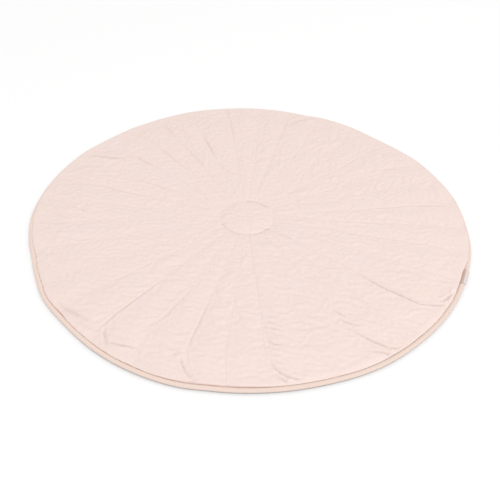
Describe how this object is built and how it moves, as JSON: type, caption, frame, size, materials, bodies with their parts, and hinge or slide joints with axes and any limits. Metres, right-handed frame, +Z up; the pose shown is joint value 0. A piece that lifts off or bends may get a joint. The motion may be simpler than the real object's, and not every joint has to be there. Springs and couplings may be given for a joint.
{
  "type": "baby play mat",
  "caption": "Round padded play mat with a plain cotton face quilted in rays from a stitched centre circle, a piped edge and a small bare side label.",
  "frame": {"origin": "centre of the stitched centre circle, on the underside that lies on the floor", "axes": "+Z up out of the padded face, -Y towards the front of the picture, +X towards the side with the label"},
  "size_m": [1.0036, 0.9947, 0.0184],
  "materials": {
    "blush_cotton": "matt",
    "peach_cotton": "matt",
    "rose_tape": "matt"
  },
  "bodies": {
    "root": {"quilted_pad": "blush_cotton", "piping": "peach_cotton", "side_label": "rose_tape"}
  },
  "joints": []
}
